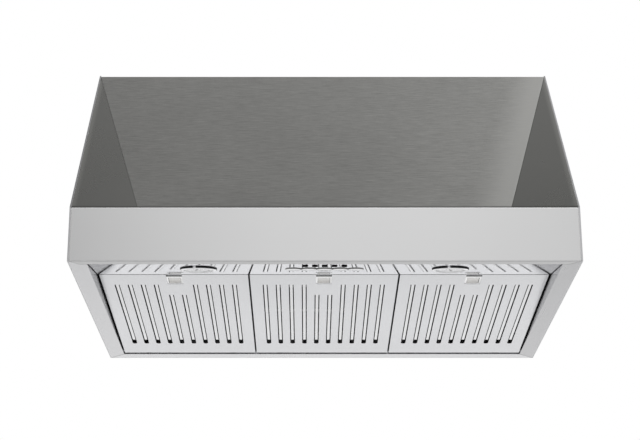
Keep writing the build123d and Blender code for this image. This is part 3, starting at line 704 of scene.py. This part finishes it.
# %% [markdown]
# ## Lights
# Each light is a polished ring that snaps into the strip over a seal. The seal, and the bore below
# the glass, are painted black as the dark reflection under the ring: from the front the seal draws
# a dark crescent, because the ring drops a few millimetres below the strip, and a bright notch left
# of its middle is the tab of the ring's spring. Ring and seal are turned shapes: the outline of
# the wall is drawn once and spun round the lamp's axis. The frosted disc lies a little deeper than
# the ring, so a fine dark line follows its rear edge. The strip leans, so its lamps and buttons are
# drawn flat and then placed by one matrix.

# %% Outlines of ring, seal and lens
sheet = 1.5 * mm
lamp_side = 230 * mm
lamp_setback = 75 * mm
ring_radius = 34 * mm
bore_radius = 26.5 * mm
neck_radius = 28 * mm
neck_top = 9 * mm
ring_drop = 3.2 * mm
seal_height = 2.0 * mm
lens_back = 1.2 * mm
lens_face = 1.8 * mm
lens_radius = bore_radius - 0.1 * mm
strip_tilt = math.atan2(filter_rise - sheet, strip_depth - front_lip)
strip_corner = Vector((0, front_lip - hood_depth, rim_height + sheet))
strip_frame = Matrix.Translation(strip_corner) @ Matrix.Rotation(strip_tilt, 4, "X")

ring_outline = [
    (bore_radius, neck_top), (bore_radius, 0.3 * mm - ring_drop),
    (bore_radius + 0.3 * mm, -ring_drop), (ring_radius - 1.2 * mm, -ring_drop),
    (ring_radius - 0.35 * mm, 0.3 * mm - ring_drop), (ring_radius, -seal_height - 0.2 * mm),
    (ring_radius - 0.3 * mm, -seal_height), (neck_radius, -seal_height), (neck_radius, neck_top),
]
seal_outline = [
    (neck_radius, -seal_height), (ring_radius - 0.3 * mm, -seal_height),
    (ring_radius - 0.1 * mm, -1.2 * mm), (ring_radius - 0.3 * mm, 0), (neck_radius, 0),
]
lens_outline = [
    (0, -lens_back), (lens_radius, -lens_back), (lens_radius, 0.2 * mm - lens_face),
    (lens_radius - 0.2 * mm, -lens_face), (0, -lens_face),
]
print("strip tilt:", round(math.degrees(strip_tilt), 2))

# %% Rings, seals and lenses
tab_low = (-8 * mm, -ring_radius, -seal_height)
tab_high = (-3 * mm, 3 * mm - ring_radius, -0.1 * mm)
# Index of the black coat, a painted dark reflection.
dark_reflection_coat = 1


def seal_wall(mesh):
    """The bore below the glass is lined by the seal."""
    for face in mesh.faces:
        middle = face.calc_center_median()
        if middle.xy.length < bore_radius + 0.05 * mm and middle.z < 0:
            face.material_index = dark_reflection_coat
    return mesh


for side, sign in (("left", -1), ("right", 1)):
    spot = strip_frame @ Matrix.Translation((sign * lamp_side, lamp_setback, 0))
    whole = bmesh.new()
    gather(whole, seal_wall(turned(ring_outline, 96, ring=True)), spot, None)
    gather(whole, turned(seal_outline, 96, ring=True), spot, dark_reflection_coat)
    gather(whole, rounded(brick(tab_low, tab_high), 0.2 * mm, 2), spot)
    coats = ("bezel_chrome", "black_as_dark_reflection")
    piece(f"{side}_light_ring", whole, "canopy", "bezel_chrome", [f"{side}_light_bezel"], *coats)
    whole = bmesh.new()
    gather(whole, turned(lens_outline, 96), spot)
    piece(f"{side}_light_glass", whole, "canopy", "lens_glass", [f"{side}_light_lens"])

# %% [markdown]
# ## Push buttons
# Five square caps of black plastic stand out of the strip. A moulded cap has soft corners and a
# face that is slightly dished for the fingertip. The block's upright corners are rounded first
# and wide, then its lowest face is inset and lifted into the dish, and last the remaining edges
# are rounded fine. The flange behind the sheet keeps the cap in, and the stem works the switch.

# %% The cap of a button
button_pitch = 17.6 * mm
button_setback = 31 * mm
button_half = 5 * mm
button_drop = 1.6 * mm
flange_half = 6.5 * mm
flange_low = sheet + 0.05 * mm
flange_high = flange_low + 1 * mm
stem_radius = 2 * mm
stem_top = flange_high + 8 * mm


def lowest_face(mesh):
    return min(mesh.faces, key=lambda f: f.calc_center_median().z)


def inset(mesh, face, width, depth=0.0):
    bmesh.ops.inset_individual(
        mesh, faces=[face], thickness=width, depth=depth, use_even_offset=True)


def button_cap():
    cap = brick((-button_half, -button_half, -button_drop), (button_half, button_half, flange_low))
    upright = [e for e in cap.edges if abs(e.verts[0].co.z - e.verts[1].co.z) > 1 * mm]
    bevel(cap, upright, 1.4 * mm, 4)
    face = lowest_face(cap)
    inset(cap, face, 0.5 * mm)
    inset(cap, face, 1.2 * mm, -0.25 * mm)
    return rounded(cap, 0.3 * mm, 3, 50.0)


print("button stands", round(button_drop / mm, 2), "mm below the strip")

# %% Five buttons
for number in range(1, 6):
    spot = strip_frame @ Matrix.Translation(((number - 3) * button_pitch, button_setback, 0))
    whole = bmesh.new()
    gather(whole, button_cap(), spot)
    corners = [(-flange_half, -flange_half, flange_low), (flange_half, flange_half, flange_high)]
    gather(whole, rounded(brick(*corners), 0.2 * mm, 2), spot)
    stem = prism(20, stem_radius, flange_high, stem_top)
    gather(whole, rounded(stem, 0.3 * mm, 2, 60.0), spot)
    name = f"button_{number}"
    piece(f"{name}_cap", whole, name, "button_black", [f"push_{name}"])

# %% [markdown]
# ## Label plate
# Behind the buttons lies a plate pressed into five round lobes, which on this hood is bare. The
# frame's solid has the right outline, so a copy of its mesh is the start: its loose triangles are
# merged and flat neighbours dissolved, then the rim is rounded. The wall of the plate is dark, and
# seen from the front it draws five arches under the buttons.

# %% Five lobes with a dark wall
facing = 0.7
rim_fold = 1.0
polished, dark_wall = 0, 1


def copy_of(node):
    mesh = bmesh.new()
    mesh.from_mesh(frame["nodes"][node].data)
    bmesh.ops.remove_doubles(mesh, verts=mesh.verts, dist=2 * weld)
    bmesh.ops.dissolve_limit(mesh, angle_limit=math.radians(1), verts=mesh.verts, edges=mesh.edges)
    bmesh.ops.recalc_face_normals(mesh, faces=mesh.faces)
    return mesh


strip_down = strip_frame.to_3x3() @ Vector((0, 0, -1))
lobes = copy_of("button_label_plate")
for face in lobes.faces:
    face.material_index = polished if abs(face.normal.dot(strip_down)) > facing else dark_wall
below = [f for f in lobes.faces if f.normal.dot(strip_down) > facing]
rim = {e for f in below for e in f.edges if e.calc_face_angle() > rim_fold}
bevel(lobes, list(rim), 0.2 * mm, 2, polished)
whole = bmesh.new()
gather(whole, lobes, finish=None)
coats = ("label_steel", "dark_rim")
piece("label_plate", whole, "canopy", "label_steel", ["button_label_plate"], *coats)

# %% [markdown]
# ## Latches
# Each filter is held by a slide in the middle of its front edge. The fingers press into a shallow
# pocket and pull the slide back, and its sprung tongue leaves the rail. The plate is a block whose
# lower face is inset, narrowed to the pocket's length and pushed in. Bright plate, blasted pocket
# floor and a black coat are three coats on one piece; the black coat is painted shade, on the front
# end, the tongue and the pocket's front and side walls. A cut across the plate, made with a plane,
# keeps the black coat to the front end, so the mouth before it shows dark.
# A face remembers its coat by number: 0 is the first in the piece's list of finishes.

# %% The plate of a slide and its pocket
plate_half = 17 * mm
plate_low = 1.1 * mm
plate_high = 3.1 * mm
plate_front = 8.5 * mm
plate_rear = 58 * mm
plate_rim = 2 * mm
plate_lead = 3.4 * mm
pocket_half = 11.4 * mm
pocket_front = 18.5 * mm
pocket_rear = 48 * mm
pocket_depth = 1.2 * mm
# The black coat is painted shade.
blasted, shade_black = 1, 2


def slide_plate():
    plate = brick((-plate_half, plate_front, plate_low), (plate_half, plate_rear, plate_high))
    face = lowest_face(plate)
    inset(plate, face, plate_rim)
    bmesh.ops.recalc_face_normals(plate, faces=plate.faces)
    middle = Vector((0, (pocket_front + pocket_rear) / 2, plate_low))
    moved = middle.y - (plate_front + plate_rear) / 2
    narrowed = Vector((pocket_half / (plate_half - plate_rim), 1, 1))
    narrowed.y = (pocket_rear - pocket_front) / (plate_rear - plate_front - 2 * plate_rim)
    bmesh.ops.translate(plate, verts=face.verts, vec=(0, moved, 0))
    bmesh.ops.scale(plate, verts=face.verts, vec=narrowed, space=Matrix.Translation(-middle))
    before = set(plate.faces)
    inset(plate, face, 0.5 * mm, -pocket_depth)
    face.material_index = blasted
    for wall in set(plate.faces) - before:
        # The pocket's front and side walls take the black coat, painted shade.
        rear = wall.calc_center_median().y > middle.y + 1 * mm
        wall.material_index = blasted if rear else shade_black
    rounded(plate, 0.15 * mm, 2)
    parts = plate.verts[:] + plate.edges[:] + plate.faces[:]
    cut = plate_front + plate_lead
    bmesh.ops.bisect_plane(plate, geom=parts, plane_co=(0, cut, 0), plane_no=(0, 1, 0))
    for end in plate.faces:
        if end.calc_center_median().y < cut:
            end.material_index = shade_black
    return plate


print("pocket:", round(2 * pocket_half / mm, 1), "by", round((pocket_rear - pocket_front) / mm, 1))

# %% Slides with their tongues
tongue_half = 8 * mm
tongue_low = 5.1 * mm
tongue_high = 7.1 * mm
neck_rear = plate_front + 2 * mm
nose = 1 * mm
filter_length = math.hypot(filter_rise, filter_run)
filter_frame = Matrix.Translation(filter_corner) @ Matrix.Rotation(-filter_tilt, 4, "X")


def slide_tongue():
    outline = [
        (-nose, tongue_low + 0.6 * mm), (-nose + 0.6 * mm, tongue_low), (plate_front, tongue_low),
        (plate_front, plate_high), (neck_rear, plate_high), (neck_rear, tongue_high),
        (-nose, tongue_high),
    ]
    return rounded(pushed(outline, -tongue_half, tongue_half), 0.3 * mm, 2)


for side in ("left", "middle", "right"):
    low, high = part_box(f"{side}_filter_face")
    spot = filter_frame @ Matrix.Translation(((low.x + high.x) / 2, -filter_length, 0))
    whole = bmesh.new()
    gather(whole, slide_plate(), spot, None)
    gather(whole, slide_tongue(), spot, shade_black)
    coats = ("latch_steel", "pocket_steel", "shade_black_steel")
    node = f"{side}_latch_slider"
    piece(f"{side}_latch_slide", whole, f"latch_{side}", "latch_steel", [node], *coats)

# %% [markdown]
# ## Duct collar
# On top stands the collar that the exhaust duct is pushed over. Real ones are rolled sheet with a
# bead near the mouth that stiffens it, and with a shelf inside on which the damper flaps rest.
# All of that is one outline, spun round the duct's axis. The bead points inwards, so a duct
# still slides over it.

# %% Collar with its bead and shelf
panel_top = 178 * mm
duct_spot = Matrix.Translation((0, -135 * mm, panel_top))
collar_out = 100 * mm
collar_in = 99 * mm
collar_foot = 1.5 * mm
collar_top = 60 * mm
collar_edge = 0.3 * mm
shelf_in = 94 * mm
shelf_high = 17.2 * mm
shelf_low = 15.7 * mm
bead_height = 48 * mm
bead_half = 2.5 * mm
bead_depth = 0.9 * mm


def bead_on(wall):
    """The bead's five points on one face of the wall, from below."""
    steps = ((-1, 0), (-0.5, 0.7), (0, 1), (0.5, 0.7), (1, 0))
    return [(wall - bead_depth * deep, bead_height + bead_half * up) for up, deep in steps]


collar_outline = [
    (collar_out, collar_foot), *bead_on(collar_out),
    (collar_out, collar_top - collar_edge), (collar_out - collar_edge, collar_top),
    (collar_in + collar_edge, collar_top), (collar_in, collar_top - collar_edge),
    *reversed(bead_on(collar_in)), (collar_in, shelf_high), (shelf_in, shelf_high),
    (shelf_in, shelf_low), (collar_in, shelf_low), (collar_in, collar_foot),
]
whole = bmesh.new()
gather(whole, turned(collar_outline, 128, ring=True), duct_spot)
piece("duct_collar_beaded", whole, "canopy", "zinc_steel", ["duct_collar"])

# %% [markdown]
# ## Screws and bolts
# Four hexagon bolts join the collar, the top panel and the blower, and four sheet metal screws
# with washer heads hold the flange between them. A head is a six-sided prism whose edges are
# rounded, a shank is a prism with many sides, and a washer face is turned.

# %% A bolt, a screw and a nut
nut_radius = 5.5 * mm
washer_top = 0.7 * mm


def bolt():
    whole = bmesh.new()
    washer = [
        (0, 0), (5.4 * mm, 0), (5.4 * mm, washer_top - 0.2 * mm), (5.2 * mm, washer_top),
        (0, washer_top),
    ]
    gather(whole, turned(washer, 32))
    gather(whole, rounded(prism(6, 5.3 * mm, washer_top, 4 * mm), 0.35 * mm, 2))
    gather(whole, prism(24, 3 * mm, -13 * mm, 0))
    return whole


def washer_screw():
    whole = bmesh.new()
    brim = [(0, 0), (4 * mm, 0), (4 * mm, 0.4 * mm), (3.2 * mm, washer_top), (0, washer_top)]
    gather(whole, turned(brim, 32))
    gather(whole, rounded(prism(6, 2.9 * mm, washer_top, 2 * mm), 0.25 * mm, 2))
    gather(whole, prism(16, 2 * mm, -8.9 * mm, 0))
    return whole


def nut():
    return rounded(prism(6, nut_radius, 0, 5 * mm), 0.3 * mm, 2)


print("fasteners: bolt, washer screw, nut")

# %% Bolts and screws round the collar
flange_top = duct_spot @ Matrix.Translation((0, 0, collar_foot))
bolt_low, bolt_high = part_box("collar_bolts")
bolt_x = bolt_high.x - nut_radius
bolt_y = (bolt_high.y - bolt_low.y) / 2 - nut_radius
nut_drop = bolt_low.z - (panel_top + collar_foot)
whole = bmesh.new()
for x in (-bolt_x, bolt_x):
    for y in (-bolt_y, bolt_y):
        spot = flange_top @ Matrix.Translation((x, y, 0))
        gather(whole, bolt(), spot)
        gather(whole, nut(), spot @ Matrix.Translation((0, 0, nut_drop)))
piece("collar_bolt_set", whole, "canopy", "plated_steel", ["collar_bolts"])
screw_circle = 109 * mm
whole = bmesh.new()
for turn in range(4):
    angle = turn * math.tau / 4
    spot = Matrix.Translation((screw_circle * math.cos(angle), screw_circle * math.sin(angle), 0))
    gather(whole, washer_screw(), flange_top @ spot)
piece("collar_screw_set", whole, "canopy", "plated_steel", ["collar_screws"])
print("bolts at", round(bolt_x, 4), round(bolt_y, 4), "nuts", round(nut_drop, 4))

# %% [markdown]
# ## Cable bushing
# The supply cable enters through a moulded bushing in the top panel. Its rim is rounded so that
# it can't cut the cable, and the nut below the panel has six flats to turn it by. Both are
# turned from an outline: the bushing in 64 steps, and the nut in six, which leave its flats.

# %% Bushing and its nut
bushing_spot = Matrix.Translation((-300 * mm, -120 * mm, panel_top))
thread_radius = 12.9 * mm
thread_low = -7.5 * mm
nut_top = -1.5 * mm
nut_rim = 17.9 * mm
bushing_outline = [
    (10 * mm, thread_low), (thread_radius, thread_low), (thread_radius, 0), (18 * mm, 0),
    (18 * mm, 1.4 * mm), (17 * mm, 2.2 * mm), (13.5 * mm, 3 * mm), (11.5 * mm, 3 * mm),
    (10.4 * mm, 2.6 * mm), (10 * mm, 1.8 * mm),
]
nut_outline = [
    (thread_radius, thread_low), (nut_rim, thread_low), (nut_rim, nut_top),
    (thread_radius, nut_top),
]
whole = bmesh.new()
gather(whole, turned(bushing_outline, 64, ring=True), bushing_spot)
gather(whole, rounded(turned(nut_outline, 6, ring=True), 0.5 * mm, 2), bushing_spot)
piece("cable_gland", whole, "canopy", "black_plastic", ["cable_bushing"])

# %% [markdown]
# ## Motor
# Behind the filters hangs the blower's motor. A motor housing is a drum between two end bells,
# with a band where they meet and a boss for the rear bearing. It is one outline spun round the
# shaft, with the grooves between the bells and the drum drawn in.

# %% Motor housing
motor_low, motor_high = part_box("motor")
motor_radius = (motor_high.z - motor_low.z) / 2
motor_long = motor_high.x - motor_low.x
motor_rear = 3 * mm
groove_depth = 1.2 * mm
bolt_ring = 30 * mm


def groove_from(start):
    steps = ((0, 0), (0.8 * mm, groove_depth), (3 * mm, groove_depth), (3.8 * mm, 0))
    return [(motor_radius - deep, start + on) for on, deep in steps]


motor_outline = [
    (0, 0), (14 * mm, 0), (16 * mm, 1.5 * mm), (16 * mm, motor_rear), (34 * mm, motor_rear),
    (41 * mm, motor_rear + 2.5 * mm), (motor_radius, motor_rear + 8 * mm),
    *groove_from(motor_rear + 20 * mm), *groove_from(motor_long - 20 * mm),
    (motor_radius, motor_long - 1.5 * mm), (motor_radius - 1.5 * mm, motor_long), (0, motor_long),
]
middle = (motor_low + motor_high) / 2
lie_down = Matrix.Translation((motor_low.x, middle.y, middle.z))
lie_down = lie_down @ Matrix.Rotation(math.radians(90), 4, "Y")
whole = bmesh.new()
gather(whole, turned(motor_outline, 72), lie_down)
for turn in range(6):
    foot = Matrix.Rotation(turn * math.tau / 6, 4, "Z")
    foot = foot @ Matrix.Translation((bolt_ring, 0, motor_rear))
    gather(whole, rounded(prism(6, 3.5 * mm, -2 * mm, 0.2 * mm), 0.3 * mm, 2), lie_down @ foot)
piece("motor_housing", whole, "canopy", "motor_paint", ["motor"])

# %% [markdown]
# ## The studio
# Sheet metal shows its surroundings more than itself. In the picture the band mirrors a bright
# room in front, the underside a bright floor and wall, and the slope a darker ceiling. So the
# world is white around and below, and falls to grey overhead. What the camera sees directly is
# plain white. A broad soft sun lifts upward faces, and a pale floor far below takes the shadow.
# Each zone of the room is a step between two sines: of the height over the horizon, of the turn
# to the right, or of the turn to the back.

# %% World
white = (1.0, 1.0, 1.0, 1.0)
ceiling_fall = 0.855
window_gain = 0.25
world = bpy.data.worlds.new("studio")
bpy.context.scene.world = world
studio = Board(world)
looking = studio.add("ShaderNodeTexCoord", output="Generated")
right, back, up = [
    studio.add("ShaderNodeSeparateXYZ", {}, {"Vector": looking}, part) for part in "XYZ"]
overhead = step(studio, up, 0.45, 0.92)
right_glow = step(studio, right, 0.09, 0.36, 0.0, 0.9)
in_front = step(studio, back, -0.75, -0.35, 1.0, 0.0)
dark_left = step(studio, right, -0.32, -0.02, 0.84, 0.0)
dim_right = step(studio, right, 0.05, 0.4, 0.0, 0.5)
window = in_front * step(studio, up, 0.3, 0.42) * step(studio, up, 0.42, 0.6, 1.0, 0.0)
ceiling = overhead * (ceiling_fall - right_glow)
room = 1.0 + window * window_gain - ceiling - in_front * (dark_left + dim_right)
seen = studio.add("ShaderNodeLightPath", output="Is Camera Ray")
passed = studio.add("ShaderNodeLightPath", output="Is Transmission Ray")
straight = seen.or_more(passed)
light = {"Color": white, "Strength": straight + (1.0 - straight) * room}
background = studio.add("ShaderNodeBackground", {}, light)
studio.add("ShaderNodeOutputWorld", {}, {"Surface": background})
print("world:", world.name)

# %% Sun
sun_light = bpy.data.lights.new("soft sun", "SUN")
sun_light.energy = 0.12
sun_light.angle = math.radians(35)
sun = bpy.data.objects.new("soft sun", sun_light)
sun.rotation_euler = (math.radians(-22), 0, 0)
bpy.context.scene.collection.objects.link(sun)
print("sun:", sun_light.energy)

# %% Floor
floor_height = -1.97
floor_radius = 7.0
fade_start, fade_end = 2.0, 5.5
floor_mesh = bmesh.new()
bmesh.ops.create_circle(floor_mesh, cap_ends=True, segments=96, radius=floor_radius)
bmesh.ops.translate(floor_mesh, verts=floor_mesh.verts, vec=(0, 0, floor_height))
floor_data = bpy.data.meshes.new("floor")
floor_mesh.to_mesh(floor_data)
floor_mesh.free()
floor = bpy.data.objects.new("floor", floor_data)
bpy.context.scene.collection.objects.link(floor)
print("floor at", floor_height, "m")

# %% Pale paint that fades into the background, seen only from above
floor_paint = bpy.data.materials.new("pale floor")
paving = Board(floor_paint)
flat = paving.add("ShaderNodeMapping", {}, {"Vector": place_of(paving), "Scale": (1.0, 1.0, 0.0)})
away = paving.add("ShaderNodeVectorMath", {"operation": "LENGTH"}, {0: flat}, "Value")
fade = step(paving, away, fade_start, fade_end)
pale = paving.add("ShaderNodeBsdfDiffuse", {}, {"Color": (0.86, 0.86, 0.86, 1.0)})
glow = paving.add("ShaderNodeEmission", {}, {"Color": white, "Strength": 1.0})
meets = paving.add("ShaderNodeMixShader", {}, {0: fade, 1: pale, 2: glow})
under = paving.add("ShaderNodeNewGeometry", output="Backfacing")
clear = paving.add("ShaderNodeBsdfTransparent", {})
both_sides = paving.add("ShaderNodeMixShader", {}, {0: under, 1: meets, 2: clear})
paving.add("ShaderNodeOutputMaterial", {}, {"Surface": both_sides})
floor_data.materials.append(floor_paint)
print("floor paint:", floor_paint.name)
